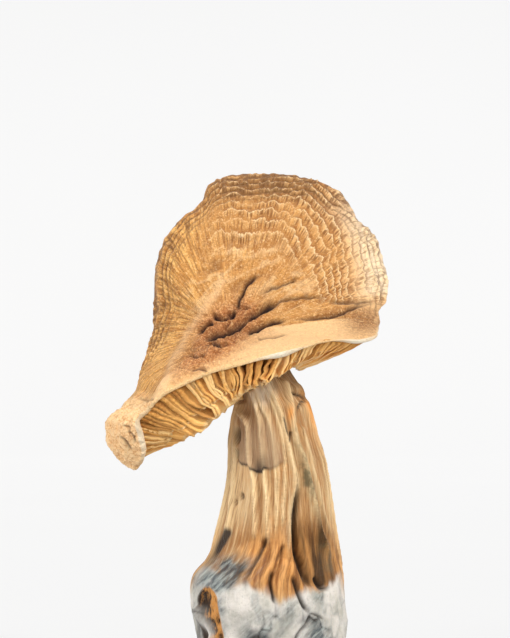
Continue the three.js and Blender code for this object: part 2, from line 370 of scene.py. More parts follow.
class CapPlace:
    """Each point of the cap's skin, measured in the ways that its relief is drawn in."""

    def __init__(self, turn, reach, place):
        angle = 2 * math.pi * turn
        self.round_x, self.round_y = np.cos(angle), np.sin(angle)
        self.reach = reach
        self.x, self.y, self.z = place[..., 0], place[..., 1], place[..., 2]
        self.u, self.v = front(place)
        self.row = np.mod(turn * len(RIM) + 3, len(RIM)) - 3  # the rim's rows, from -3, the front right
        self.near_row = np.mod(self.row, len(RIM))  # the same, but unbroken along the front
        edge_u, edge_v = front(loop_curve(EDGE, turn))
        centre_u, centre_v = front(CAP_CENTRE)
        span = np.hypot(edge_u - centre_u, edge_v - centre_v)
        # As the viewer sees them: 0 at the centre and 1 at the rim, and millimetres in from the rim.
        self.seen = np.hypot(self.u - centre_u, self.v - centre_v) / span
        self.from_rim = (1 - self.seen) * span
        self.fibre = self.round_noise(21, 48, reach * 6) + 0.6 * self.round_noise(22, 26, reach * 5)
        self.bent = rough(41, 2, self.x * 0.5, self.y * 0.5, self.z * 0.5)

    def round_noise(self, seed, scale, *others):
        """Noise that meets itself once round the cap."""
        return noise(seed, scale * self.round_x, scale * self.round_y, *others)


def terraces(at):
    """Terraces parallel to the far rim, from the right-hand end round to the upper left."""
    far = step(-1.0, 0.1, at.row) * step(5.6, 4.2, at.row)
    far = far * step(56.8, 58.4, at.v + 0.5 * noise(16, at.u * 0.8))
    wander = 0.6 * at.round_noise(11, 6, at.seen * 5) + 0.4 * at.round_noise(12, 19, at.seen * 11)
    wander = wander + 0.2 * at.round_noise(13, 46, at.seen * 14)
    stage = np.clip(at.seen + wander / CAP_RADIUS, 0.01, 1.1)
    right = step(3.8, 1.2, at.row)
    phase = mix(8.6 * stage ** 3.8, 19 * (stage - 0.42), right)
    spacing = CAP_RADIUS / mix(32.7 * stage ** 2.8, 19.0, right)
    tread = phase - np.floor(phase)
    crest = np.abs(2 * tread - 1) ** 1.8
    strength = far * step(0.46, 0.66, at.seen) * np.clip(0.85 + 0.7 * at.round_noise(14, 7, phase), 0.15, 1)
    saw = 0.6 * crest + 0.6 * tread ** 1.3
    height = np.clip(0.3 * spacing, 0.2, 0.7) * strength * (saw - 0.4)
    sepia = far * step(0.84, 0.95, at.seen) * step(-14, -9, at.u) * step(9, 5, at.u) * (1 - crest)
    return height, {"phase": phase, "strength": strength, "sepia": sepia, "crest": crest, "tread": tread}


def rim_wrinkles(at):
    """Close wrinkles along the rim, at the left and top most of all."""
    hem = step(4.6, 1.2, at.from_rim) * step(1.0, 2.6, at.row) * step(9.6, 8.6, at.row)
    right_hem = step(4.2, 0.8, at.from_rim) * step(-0.8, 0.5, at.row) * step(3, 2, at.row)
    hem = np.maximum(hem, 0.6 * right_hem)
    wave = at.from_rim / 0.78 + 0.8 * at.round_noise(31, 8, at.reach * 3) + 0.25 * at.round_noise(32, 40)
    groove = bump(np.mod(wave, 1) - 0.5, 0.22)
    broken_line = step(-0.6, 0.2, at.round_noise(33, 14, wave * 0.9))
    crossing = step(0.15, 0.55, at.fibre) * step(-0.1, 0.5, noise(34, at.x * 0.5, at.z * 0.5))
    plaid = hem * np.clip(groove * broken_line + 0.5 * crossing, 0, 1)
    return -0.22 * groove * hem, {"hem": hem, "hem_wave": wave, "plaid": plaid}


def crumpled_pit(at):
    """The crumpled pit, and the red skin that runs down from it."""
    red_off = beside_line(at.u, at.v, RED_RUN)[0]
    red = bump(red_off, 2.4) * step(0.9, 0.4, at.reach)
    red = np.clip(red + 0.5 * bump(red_off, 3.4) * (1 - step(0.85, 1.0, at.reach)), 0, 1)
    across, up = at.u - PIT[0], at.v - PIT[1]
    pit = bump(across * 0.95 + up * 0.3, 3.3) * bump(up - across * 0.3, 2.2)
    lengthwise, crosswise = 0.9 * at.u + 0.44 * at.v, 0.9 * at.v - 0.44 * at.u
    crumple = folds(42, 3, lengthwise * 0.3 + 0.5 * at.bent, crosswise * 0.62 - 0.5 * at.bent)
    curls = folds(45, 3, at.u * 0.5 + 0.7 * at.bent, at.v * 0.85 + 0.5 * at.bent)
    crumple = mix(curls, crumple, np.clip(1.3 * pit, 0, 1))
    height = pit * (1.6 * crumple - 1.5) + red * (1 - pit) * (1.1 * crumple - 0.5)
    return height, {"pit": pit, "red": red, "crumple": crumple}


def creases(at):
    # Each crease gets painted shade along it, darkest along its middle.
    height, dark, crease_core_shade = 0.0, 0.0, 0.0
    for number, (line, depth, width) in enumerate(CREASES):
        off, along = beside_line(at.u, at.v, line)
        off = off + 0.16 * noise(50 + number, at.u * 1.4, at.v * 1.4)
        taper = step(0, 0.25, along) * step(1, 0.75, along)
        lip = bump(np.abs(off) - 2.2 * width, width)
        height = height + depth * taper * (0.3 * lip - bump(off, width))
        dark = np.maximum(dark, min(1.3, 0.25 + 1.1 * depth) * bump(off, width * 0.95) * taper)
        crease_core_shade = np.maximum(crease_core_shade, min(1.2, 1.4 * depth - 0.2) * bump(off, width * 0.6) * taper)
    return height, {"dark": dark, "crease_core_shade": crease_core_shade}


def cap_relief(turn, reach, place):
    """How far the skin stands out, and the masks that its colour follows."""
    at = CapPlace(turn, reach, place)
    u, v, x, y, z, seen = at.u, at.v, at.x, at.y, at.z, at.seen
    height, found = 0.0, {}
    for feature in (terraces, rim_wrinkles, crumpled_pit, creases):
        more, masks = feature(at)
        height = height + more
        found.update(masks)
    pit, red, crumple = found["pit"], found["red"], found["crumple"]
    strength, crest = found["strength"], found["crest"]
    fibre_place = step(0.25, 0.55, reach) * (1 - 0.75 * step(11.6, 12.4, at.near_row))
    height = height + 0.12 * at.fibre * fibre_place

    # The smooth pale ridge up the left of the pit.
    ridge_off, ridge_along = beside_line(u, v, PALE_RIDGE)
    ridge_off = ridge_off + 0.25 * noise(59, u * 0.6, v * 0.6)
    ridge = bump(ridge_off, 0.6) * step(0, 0.12, ridge_along) * step(1, 0.7, ridge_along)
    height = height * (1 - 0.5 * ridge) + 0.35 * ridge

    # Wormy wrinkles on the lobe and on the skin above it, and soft lumps everywhere.
    lobe = step(-15.5, -19.0, u) * step(45.0, 41.5, v)
    worms = folds(61, 2, x * 0.9 + 0.3 * at.bent, y * 0.9, z * 0.9)
    left = step(-11.0, -14.0, u) * (1 - lobe) * step(62, 55, v)
    left_folds = folds(63, 2, x * 0.6, y * 0.6, z * 1.2)
    inner = step(0.1, 0.35, reach) * step(0.7, 0.45, seen) * (1 - pit) * (1 - 0.7 * red) * step(54, 58, v)
    inner_folds = folds(65, 3, x * 0.24 + 0.2 * at.bent, y * 0.24, z * 0.45 - 0.2 * x)
    near_flap = step(10.9, 12.0, at.near_row)
    lumps = rough(71, 2, x * 0.13, y * 0.13, z * 0.13) * step(0.05, 0.3, reach) * step(1.0, 0.9, reach)
    height = height + 0.42 * lobe * (worms - 0.4) + 0.12 * left * (left_folds - 0.4)
    height = height + 0.6 * inner * (inner_folds - 0.4) + 0.16 * near_flap * rough(67, 3, u * 0.4, v * 0.9)
    # Close upright grooves in the brown skin at the right-hand end of the front.
    height = height - 0.16 * spot(u, v, 13.9, 54.8, 2.6, 1.8) * folds(73, 2, u * 1.3 + 0.25 * v, v * 0.2)
    height = height + 0.3 * lumps

    browned = spot(u, v, 13.9, 54.6, 3.0, 2.2) + 0.7 * spot(u, v, 9.5, 55.6, 3.0, 0.7)
    # Painted light along the right-hand rim.
    right_rim_light = step(5.5, 1.0, at.from_rim) * step(3.0, 1.6, at.row) * step(-0.6, 0.4, at.row)
    hatch = np.clip(strength * (1 - crest) * 1.2 + 0.45 * step(-9, -12, u) + 0.12, 0, 1)
    masks = {
        # Painted shade: in the creases, in the crumpled hollows of the pit and the red skin, and in the inner
        # folds' hollows.
        "dark": found["dark"] + 0.9 * pit * step(0.6, 0.15, crumple) + 0.55 * red * step(0.45, 0.1, crumple)
                + 0.4 * inner * step(0.3, 0.0, inner_folds),
        "crease_core_shade": found["crease_core_shade"],
        "plaid": 0.5 * found["plaid"] + 0.8 * found["sepia"],
        "red": red + pit,
        # Painted shade in the pit's crumpled hollows.
        "pit": np.clip(pit * 1.1, 0, 1) * step(0.9, 0.3, crumple),
        # Paler skin on the ridge and the front flap, painted light on the lobe and the right-hand side, and
        # painted highlights on the red crumple's ridges.
        "pale": 0.65 * ridge + 0.95 * lobe + 0.75 * near_flap * (1 - red)
                + 0.9 * step(9, 16, u) * (1 - near_flap) + 0.4 * red * step(0.6, 0.95, crumple),
        # Painted highlights on the tops of the inner folds and the lobe's wrinkles.
        "crest": 0.5 * inner * step(0.65, 0.95, inner_folds) + 0.6 * lobe * step(0.6, 0.9, worms),
        # Painted shade in the terraces' hollows, the inner folds' hollows and the lobe's wrinkles.
        "hollow": 0.5 * strength * (1 - crest) * (1.15 - found["tread"])
                  + 0.5 * inner * step(0.55, 0.1, inner_folds) + 0.9 * lobe * step(0.5, 0.15, worms),
        "hatch": hatch * (1 - pit) * (1 - lobe) * (1 - near_flap * step(12, 10, u)),
        "left": step(-8.5, -14.0, u) * (1 - lobe) * (1 - ridge),
        "browned": browned,
        "lobe": lobe,
        "hem": found["hem"],
        "strength": strength,
        "right_rim_light": 0.8 * right_rim_light * step(57.5, 59.5, v),
    }
    masks = {label: np.clip(values, 0, 1) for label, values in masks.items()}
    return height, {**masks, "phase": found["phase"], "hem_wave": found["hem_wave"]}


def build_cap():
    spokes, top_rings, edge_rings, under_rings = 640, 132, 4, 18
    turn = np.arange(spokes) / spokes
    angle = 2 * math.pi * turn
    place = turn * len(RIM)
    # How far out the skin goes: a little ragged, with the two upper corners worn off.
    ragged = 0.988 + 0.006 * rough(81, 3, 9 * np.cos(angle), 9 * np.sin(angle))
    ragged = ragged - 0.075 * bump(place - 5.22, 0.42) - 0.06 * bump(place - 2.05, 0.6)

    top_reach = np.linspace(0, 1, top_rings + 1)[1:]
    reach, turns = np.meshgrid(top_reach, turn, indexing="ij")
    reach = reach * ragged
    plain = cap_top(turns, reach)
    normal = cap_normal(turns, reach)
    height, masks = cap_relief(turns, reach, plain)
    height = height * step(0, 0.03, reach)
    deepest = 0.9 * flesh_depth(turns, reach)  # no hollow goes through the flesh
    height = np.where(height < 0, deepest * np.tanh(height / deepest), height)
    top = plain + normal * height[..., None]

    under_reach = np.linspace(1, 0, under_rings + 1)[:-1]
    reach_below, turns_below = np.meshgrid(under_reach, turn, indexing="ij")
    below = under_cap(turns_below, reach_below * ragged)

    # The edge goes round from the skin to the underside, swelling a little.
    share = (np.arange(edge_rings) + 1.0)[:, None, None] / (edge_rings + 1)
    outward = unit(top[-1] - top[-4])
    thick = 1 + 0.25 * noise(83, 30 * np.cos(angle), 30 * np.sin(angle))[:, None]
    edge = mix(top[-1], below[0], share) + outward * 0.22 * np.sin(math.pi * share) * thick

    points = np.concatenate([
        top.reshape(-1, 3), edge.reshape(-1, 3), below.reshape(-1, 3),
        [CAP_CENTRE, CAP_CENTRE - CENTRE_NORMAL * FLESH_AT_CENTRE]])
    rows = top_rings + edge_rings + under_rings
    count = rows * spokes
    faces = [ring_faces(rows, spokes),
             fan_faces(np.arange(spokes), count, True),
             fan_faces(np.arange(count - spokes, count), count + 1, False)]

    # The front edge is bare flesh, from the lobe's inner edge to the right-hand end.
    broken = step(9.9, 10.7, place) * step(18.0, 17.6, place)
    wider = 0.05 * bump(place - 11.7, 0.55)
    cream = np.concatenate([
        (step(0.986 - wider, 0.998 - 0.8 * wider, top_reach[:, None]) * broken).ravel(),
        np.tile(broken, edge_rings),
        (np.array([1.0] + [0.0] * (under_rings - 1))[:, None] * broken).ravel(), [0, 0]])
    under = np.concatenate([np.zeros(top_rings * spokes), np.tile(1 - broken, edge_rings) * 0.3,
                            np.ones(under_rings * spokes), [0, 1]])
    edge_across = front(loop_curve(EDGE, turn))[0]
    white = bump(edge_across - TORN_LUMPS[0], 3.0) + bump(edge_across - TORN_LUMPS[1], 2.4)
    white = white + 0.7 * bump(place - LOBE_ROW, 0.6)
    attributes = {"cream": cream, "under": under,
                  "white": np.concatenate([np.tile(np.clip(white, 0, 1), rows), [0, 0]])}
    for label, values in masks.items():
        rest = np.tile(values[-1], edge_rings)
        attributes[label] = np.concatenate([values.ravel(), rest, np.zeros(under_rings * spokes + 2)])
    around = np.tile(np.stack([np.cos(angle), np.sin(angle)], axis=1), (rows, 1)) * 20
    out = np.concatenate([reach.ravel(), np.ones(edge_rings * spokes), reach_below.ravel()]) * 30
    grain = np.column_stack([around, out])
    attributes["grain"] = np.vstack([grain, [[0, 0, 0], [0, 0, 0]]])
    return make_mesh("cap_skin", points, faces, attributes)


# ------------------------------------------------------------------ the gills

GILL_DEPTH = 6.0
GILL_REACH = 0.97
GILL_LEAN = 0.35
BARED_SAG = 3.0
GILL_RING_SLOPE = np.array([0.5, 0.3])
GILLS = 108
SHORT_GILL = 1000  # what a short gill's number has over its whole neighbour's
# Where the gills' free edges end, from the flesh at the rim, for each row of the rim. Under the broken
# front they fan out of the corner by the lobe and lean back towards the stem.
FREE_END = np.array([[-1.0, 0.0, -0.3]] + [[0.0, 0.0, -0.3]] * 8 + [
    [0.3, 0.0, 0.2],
    [1.4, 0.6, 1.7],
    [5.4, 0.2, -0.5],
    [7.3, 0.4, -3.3],
    [3.5, 0.6, -4.6],
    [0.2, 0.5, -4.0],
    [-1.0, 0.3, -3.3],
    [-2.0, 0.3, -2.3],
    [-2.3, 0.0, -0.9],
])


def gill_ring(turn):
    """Where the gills' free edges meet the stem."""
    out = loop_curve(EDGE, turn) - STEM_TOP
    angle = np.arctan2(out[..., 1] + out[..., 2] * GILL_LEAN, out[..., 0])
    x = STEM_TOP_WIDTH / 2 * np.cos(angle)
    y = STEM_TOP_WIDTH / 2 * np.sin(angle) * STEM_DEPTH_SHARE
    z = GILL_RING_SLOPE[0] * x + GILL_RING_SLOPE[1] * y + 3.0 * step(0.1, -0.9, np.sin(angle))
    return STEM_TOP + np.stack([x, y, z], axis=-1)


def gill_sheet(turn, start, along, deep, share):
    """Points on one gill, with along running out from the stem and deep down to its free edge."""
    spoke = loop_curve(EDGE, np.array(turn)) - CAP_CENTRE
    ring = gill_ring(np.array(turn))
    inner = np.clip((ring - CAP_CENTRE) @ spoke / (spoke @ spoke), POLE_REACH, 0.5)
    first = mix(inner, GILL_REACH, start)
    turns = np.full(along.shape, turn)
    reach = mix(first, GILL_REACH, along)
    root = under_cap(turns, reach, -0.3)
    bared = loop_curve(BARED_GILL, np.array(turn))[0]
    end = under_cap(np.array([turn]), np.array([GILL_REACH]), 0.6)[0] + loop_curve(FREE_END, np.array(turn))
    whole = mix(start, 1.0, along)
    drop = mix(ring, end, whole[..., None]) - root
    length = np.linalg.norm(drop, axis=-1, keepdims=True)
    slack = max(bared, np.linalg.norm(loop_curve(FREE_END, np.array(turn))))
    drop = drop / np.hypot(1, length / (GILL_DEPTH + BARED_SAG * slack))
    return root + drop * (deep * share)[..., None]


def gill_list():
    """Every gill: its number, turn, start along the spoke, steps out, levels down and share of depth."""
    gills = []
    for number in range(GILLS):
        jitter = 0.42 * random_for(number, 1, 91)
        gills.append((number, (number + jitter) / GILLS, 0.0, 30, 11, 1.0))
        if abs(number / GILLS * len(RIM) - STEM_ROW) > 0.9:  # only whole gills hang over the stem
            start = 0.45 + 0.25 * random_for(number, 2, 92)
            gills.append((number + SHORT_GILL, (number + 0.5 + jitter) / GILLS, start, 14, 8, 0.72))
    return gills


def crumpled_gill(number, turn, start, along, deep, share):
    """The middle of one gill's plate, which way is sideways, and half its thickness."""
    def own_noise(seed, a, b, third):
        return noise(seed, a, b, np.full(along.shape, third))

    flow = turn * GILLS
    over_stem = bump(turn * len(RIM) - STEM_ROW, 0.9)
    fanned = bump(turn * len(RIM) - FAN_ROW, 1.5)
    taper = 1 if start == 0 else step(0, 0.35, along)
    ragged = rough(93, 2, along * 9 + number * 3.7, np.full(along.shape, number * 1.3))
    ragged = np.clip(1 + (0.06 + 0.2 * over_stem) * ragged, 0.6, 1.04) * share * taper
    sheet = gill_sheet(turn, start, along, deep, ragged)
    beside = unit(gill_sheet(turn + 0.002, start, along, deep, ragged) - sheet)
    near_stem = step(0.4, 0.0, along) * (start == 0)
    sway = 0.55 * own_noise(94, along * 2.2, deep * 0.8 + 3, flow * 0.42)
    sway = sway + 0.22 * own_noise(95, along * 6 + number, deep * 1.5, number * 0.9)
    sway = sway + 0.4 * near_stem * noise(96, along * 16 + number, deep * 2.5)
    strand = own_noise(98, deep * 2.4, along * 2, flow * 0.3)
    strand = strand + 0.6 * own_noise(99, deep * 5, along * 3, flow * 0.8)
    sway = sway + (0.15 + 0.8 * fanned + 0.9 * over_stem) * strand
    sway = sway + 0.3 * over_stem * own_noise(102, along * 14 + number * 2.3, deep * 3.5, number * 0.61)
    sheet = sheet + beside * (sway * deep ** 0.8)[..., None]
    curl = over_stem * deep ** 3 * (0.9 * noise(100, along * 3, np.full(along.shape, number * 0.7)) + 0.2)
    sheet = sheet - np.array([0, 1.0, -0.5]) * curl[..., None]
    half = mix(0.17, 0.1, deep) * (1 + 0.7 * over_stem + 0.5 * fanned)
    return sheet, beside, half[..., None]


def plate_faces(steps, levels):
    """The faces of a plate whose two sides are grids of points, one after the other."""
    count = steps * levels
    grid = ring_faces(steps, levels, closed=False)
    border = np.concatenate([
        np.arange(levels), np.arange(2, steps) * levels - 1, count - 1 - np.arange(levels),
        np.arange(steps - 2, 0, -1) * levels])
    border = np.array([n for k, n in enumerate(border) if n != border[k - 1]])
    after = np.roll(border, -1)
    rim = np.stack([border, border + count, after + count, after], axis=1)[:, ::-1]
    return [grid, grid[:, ::-1] + count, rim]


def build_gills():
    points, faces, depths, tones = [], [], [], []
    first = 0
    for number, turn, start, steps, levels, share in gill_list():
        along, deep = np.meshgrid(np.linspace(0, 1, steps), np.linspace(0, 1, levels), indexing="ij")
        sheet, beside, half = crumpled_gill(number, turn, start, along, deep, share)
        points += [(sheet + beside * side * half).reshape(-1, 3) for side in (1, -1)]
        faces += [block + first for block in plate_faces(steps, levels)]
        depths += [deep.ravel()] * 2
        tones.append(np.full(2 * deep.size, 0.5 + 0.5 * random_for(number, 3, 97)))
        first += 2 * deep.size
    attributes = {"deep": np.concatenate(depths), "own": np.concatenate(tones)}
    return make_mesh("gill_plates", np.concatenate(points), faces, attributes)


# ------------------------------------------------------------------ the stem

# Ribs seen from the front, each from its top: the line, how far it stands out and its half width.
RIBS = [
    ([(-6.5, 40.0), (-6.4, 36.0), (-6.9, 30.0), (-7.6, 26.0), (-8.6, 22.4), (-10.0, 18.8)], 0.5, 0.3),
    ([(-5.5, 41.0), (-5.9, 37.0), (-5.9, 32.0), (-6.2, 27.6), (-7.0, 23.6), (-8.0, 21.0)], 0.5, 0.3),
    ([(-4.9, 42.6), (-4.9, 41.0), (-3.7, 38.9), (-3.4, 34.4), (-2.8, 31.1), (-2.7, 29.2), (-2.5, 23.9),
      (-3.0, 21.4)], 0.75, 0.36),
    ([(-3.4, 44.6), (-2.4, 42.3), (-1.7, 38.9), (-1.6, 36.6), (-1.1, 31.1), (-0.8, 28.6), (-0.7, 23.9),
      (-0.6, 19.8)], 0.8, 0.36),
    ([(-2.6, 45.2), (-1.9, 42.6), (-0.8, 40.2), (0.0, 37.4), (0.4, 34.4), (0.7, 31.1), (0.7, 26.0),
      (0.5, 21.2)], 0.6, 0.4),
    ([(-1.9, 45.8), (-0.4, 43.0), (0.9, 40.0), (1.6, 36.8), (2.0, 32.0), (1.8, 27.0), (1.5, 22.6)], 0.55, 0.4),
    ([(-1.0, 46.4), (-0.2, 44.3), (1.4, 40.4), (2.2, 36.6), (3.0, 33.6), (3.6, 30.6), (3.3, 27.6),
      (2.8, 24.4), (2.5, 20.4), (2.4, 17.4)], 1.0, 0.42),
    ([(1.7, 46.4), (2.5, 43.6), (3.1, 40.4), (3.5, 37.3), (4.9, 33.6), (5.6, 30.4), (6.6, 26.4),
      (7.4, 22.2), (9.6, 18.4)], 0.85, 0.36),
    ([(4.6, 39.0), (5.4, 36.0), (6.4, 32.0), (7.2, 28.6), (8.2, 24.6), (9.6, 21.0)], 0.45, 0.3),
    ([(3.3, 45.6), (4.9, 42.4), (5.7, 39.6), (7.1, 36.6), (7.8, 33.4), (8.6, 28.0), (9.4, 23.8),
      (10.2, 19.8)], 0.65, 0.34),
]
# Folds that splay out where the stem swells into the foot: the line, and how far it stands out.
SPLAYS = [
    ([(-0.9, 21.0), (-2.0, 18.9), (-3.6, 16.4), (-4.6, 14.6)], 0.5),
    ([(0.9, 21.4), (0.1, 18.4), (-1.4, 15.8), (-2.2, 13.8)], 1.0),
    ([(2.4, 19.4), (1.6, 16.8), (1.2, 14.0), (1.4, 11.8)], 0.9),
    ([(3.0, 19.0), (3.6, 15.6), (4.9, 13.2)], 0.6),
    ([(-3.0, 20.6), (-4.6, 18.6), (-6.4, 17.4)], 0.3),
    ([(-4.8, 21.0), (-6.2, 19.4), (-8.0, 18.0)], 0.3),
]
# Grooves: the line, its depth, its half width and how dark its painted shade is.
GROOVES = [
    ([(4.0, 31.0), (3.7, 28.0), (3.3, 25.0), (3.4, 22.2), (4.2, 18.6), (5.4, 15.6), (5.8, 14.4)],
     1.7, 0.5, 1.0),
    ([(-0.6, 22.6), (-1.2, 21.0), (-1.9, 19.4), (-3.4, 17.0), (-4.2, 15.8)], 1.0, 0.34, 0.8),
    ([(2.0, 21.2), (1.2, 19.6), (0.4, 18.2)], 0.6, 0.26, 0.5),
    ([(0.1, 17.4), (-0.3, 15.4), (0.1, 13.6), (0.5, 11.6)], 1.0, 0.3, 0.9),
    ([(3.0, 16.6), (3.7, 14.4), (4.6, 12.2), (5.7, 10.5)], 0.9, 0.32, 0.9),
    ([(5.5, 10.8), (6.8, 10.4), (8.2, 9.6)], 0.4, 0.16, 0.7),
    ([(5.7, 10.8), (5.2, 9.2), (3.8, 7.4), (3.2, 5.6)], 0.5, 0.2, 0.8),
    ([(6.4, 16.4), (6.9, 15.2), (7.8, 14.4), (9.2, 14.4)], 0.8, 0.3, 0.9),
    # The dark gap down the left-hand side: a shallow groove with a wide painted shadow.
    ([(-6.6, 23.9), (-7.3, 22.3), (-8.5, 20.6), (-9.7, 19.0), (-11.0, 17.4)], 0.5, 0.6, 1.6),
    ([(2.2, 43.9), (3.4, 43.7), (4.3, 43.3), (4.6, 42.8), (4.2, 41.6), (3.9, 40.6)], 0.3, 0.2, 0.95),
    ([(1.5, 40.6), (2.0, 38.6), (2.4, 37.2)], 0.4, 0.18, 0.9),
    ([(2.9, 38.2), (2.5, 36.2)], 0.4, 0.2, 0.9),
    ([(0.4, 14.0), (0.5, 11.4), (0.7, 9.0)], 0.15, 0.12, 0.4),
    ([(-1.4, 10.8), (-1.2, 9.2), (-2.0, 7.6)], 0.2, 0.12, 0.5),
]
# Holes: across, up, half width, half height and how dark their painted shade is.
HOLES = [
    (-5.35, 37.5, 0.42, 1.3, 0.75),
    (-5.4, 34.5, 0.2, 0.9, 0.85),
    (-4.85, 28.3, 0.3, 0.5, 0.9),
    (-5.6, 27.4, 0.16, 0.4, 0.6),
]
# The lower edge of the grey skin between the upper ribs, from the left.
GREY_EDGE = np.array([
    (-5.4, 33.7), (-4.9, 33.1), (-4.0, 32.9), (-3.4, 33.1), (-3.1, 32.4), (-2.3, 31.9), (-1.4, 31.8),
    (-1.1, 32.4), (-0.4, 32.2), (0.6, 32.6), (1.6, 33.4)])
# The upper edge of the white skin of the foot.
WHITE_EDGE = np.array([
    (-12.0, 18.5), (-9.0, 17.0), (-7.3, 14.9), (-5.0, 14.9), (-3.7, 15.3), (-2.4, 14.3), (-1.0, 13.9),
    (0.0, 13.6), (1.2, 12.0), (2.5, 12.4), (3.8, 13.5), (5.4, 14.2), (6.5, 14.2), (7.8, 14.5),
    (9.6, 15.2), (10.6, 17.6), (12.0, 18.2)])
ORANGE_CREST = [(3.6, 45.4), (5.1, 42.2), (6.0, 39.4), (7.3, 36.2), (8.0, 33.6)]
HOLLOW_STRIP = [(-11.4, 12.4), (-10.6, 10.0), (-9.6, 7.6), (-9.0, 5.0)]
FOOT_SEAM = [(-7.9, 13.5), (-7.1, 10.0), (-6.4, 5.0)]
# Spots of colour: how strong, across, up, half width, half height, and how far the spot leans.
BRUISES = [
    (0.9, -2.2, 7.0, 3.0, 2.8, 0.0),
    (1.1, 6.84, 7.2, 2.0, 3.0, 0.3),
    (0.75, -7.85, 12.0, 0.8, 3.2, 0.15),
    (0.6, -11.0, 9.0, 0.8, 4.5, 0.1),
    (0.5, 6.8, 13.2, 1.2, 1.2, 0.0),
    (0.35, 1.8, 10.8, 2.2, 1.6, 0.0),
]
BLACK_SPOTS = [
    (1.0, -2.4, 6.6, 1.6, 1.3, 0.0),
    (0.6, -11.0, 8.0, 0.5, 2.6, 0.0),
    (0.8, -4.7, 17.2, 0.7, 1.2, -0.6),
    (0.5, 6.3, 9.6, 0.8, 0.9, 0.0),
]
OLIVE_STAINS = [
    (1.2, 5.14, 31.5, 0.8, 4.6, 0.32),
    (0.8, 8.5, 19.5, 0.9, 3.5, 0.2),
]


def stem_line(height):
    """The stem's middle and half width at each height."""
    rows = smooth_line(STEM_ROWS, 400)
    return np.interp(height, rows[:, 0], rows[:, 1]), np.interp(height, rows[:, 0], rows[:, 2]) / 2


class StemPlace:
    """Each point of the stem's skin, measured in the ways that its relief is drawn in."""

    def __init__(self, turn, z, place):
        angle = 2 * math.pi * turn
        self.turn, self.z = turn, z
        self.x, self.y = place[..., 0], place[..., 1]
        self.u, self.v = front(place)
        self.round_x, self.round_y = np.cos(angle), np.sin(angle)
        self.facing = step(0.05, -0.35, self.round_y)  # 1 on the viewer's side
        # 1 on the fluted stem and 0 on the swollen foot.
        self.upper = step(12.0, 19.0, z + 1.5 * noise(101, 2.2 * self.round_x, 2.2 * self.round_y))


def front_ribs(u, v):
    """The ribs and splays that the photo shows, and the painted highlights that run along the ribs."""
    ribs, rib_highlights = np.zeros(u.shape), np.zeros(u.shape)
    for number, (line, size, width) in enumerate(RIBS):
        off, along = beside_line(u, v, line)
        off = off + 0.12 * noise(110 + number, v * 0.5, u * 0.2)
        ends = step(0.0, 0.04, along) * step(1.0, 0.88, along)
        rounded = np.hypot(off, 0.16) - 0.16
        ribs = np.maximum(ribs, size * np.exp(-rounded / width) * ends)
        # Painted highlight along each rib.
        rib_highlights = np.maximum(rib_highlights, bump(off, 0.28) * ends * (0.5 + 0.5 * size))
    for number, (line, size) in enumerate(SPLAYS):
        off, along = beside_line(u, v, line)
        off = off + 0.15 * noise(105 + number, u * 0.7, v * 0.7)
        ribs = np.maximum(ribs, size * bump(off, 0.62) * step(0, 0.2, along) * step(1.0, 0.7, along))
    return ribs, rib_highlights


def back_ribs(at):
    """Ribs all the way round, for where the photo shows none, and fine lines everywhere."""
    turn = at.turn + 0.012 * noise(120, 3 * at.round_x, 3 * at.round_y, at.z * 0.08) + at.z * 0.0011
    across, back = np.cos(2 * math.pi * turn), np.sin(2 * math.pi * turn)
    ribs = 0.8 * folds(121, 1, 2.9 * across, 2.9 * back, at.z * 0.03) ** 2
    ribs = ribs + 0.4 * folds(123, 1, 7 * across, 7 * back, at.z * 0.05) ** 2
    fine = noise(125, 24 * across, 24 * back, at.z * 0.12)
    return ribs, fine + 0.5 * noise(126, 48 * across, 48 * back, at.z * 0.2)


def grooves_and_holes(at):
    """How far they stand out, below 0, and the painted shade in them."""
    u, v = at.u, at.v
    height, dark = 0.0, 0.0
    for number, (line, depth, width, shade) in enumerate(GROOVES):
        off, along = beside_line(u, v, line)
        off = off + min(0.15, width / 3) * noise(130 + number, u * 0.8, v * 0.5)
        ends = step(0, 0.2, along) * step(1.0, 0.75, along) * at.facing
        height = height - depth * bump(off, width) * ends
        dark = np.maximum(dark, shade * bump(off, width * 0.95) * ends)
    for number, (across, up, half_width, half_height, shade) in enumerate(HOLES):
        bent = 0.12 * noise(138 + number, u * 2, v)
        squared = ((u - across + bent) / half_width) ** 2 + ((v - up) / half_height) ** 2
        hole = np.exp(-squared ** 2) * at.facing
        height = height - 0.8 * hole
        dark = np.maximum(dark, shade * hole)
    return height, dark


def foot_relief(at):
    """The foot's lumps, and the torn hollow in its left side with a strip of skin across it."""
    u, v, foot = at.u, at.v, 1 - at.upper
    lumps = rough(141, 3, at.x * 0.16, at.y * 0.16, at.z * 0.13)
    veins = folds(145, 2, at.x * 0.3, at.y * 0.3, at.z * 0.16)
    height = foot * (0.6 * lumps + 0.3 * veins ** 3 - 0.2) * step(0, 2.5, at.z)
    from_middle = u + 9.9 - (14.6 - v) * 0.12
    inside = np.abs(from_middle) - 1.25 * step(15.6, 12.6, v) - 0.22 * noise(147, v * 0.8)
    hollow = step(0.3, 0.1, inside) * step(15.0, 14.4, v) * step(-2.0, 3.0, v) * at.facing
    torn = step(-0.9, 0.4, from_middle + 0.8 * noise(148, v * 0.9))
    torn = torn * folds(143, 3, from_middle * 1.1, v * 0.34)
    torn = np.maximum(torn, spot(u, v, -9.2, 14.0, 0.9, 1.2))
    height = height - step(0.25, -0.35, inside) * hollow * (1.0 - 0.8 * torn)
    strip_off, strip_along = beside_line(u, v, HOLLOW_STRIP)
    strip = bump(strip_off, 0.42) * at.facing * step(0, 0.2, strip_along)
    seam_off, seam_along = beside_line(u, v, FOOT_SEAM)
    height = height + 1.1 * strip * step(14, 11, v)
    height = height + 0.35 * bump(seam_off, 0.5) * at.facing * foot * step(0, 0.2, seam_along)
    return height, {"hollow": hollow * (1 - 0.9 * strip), "torn": torn}


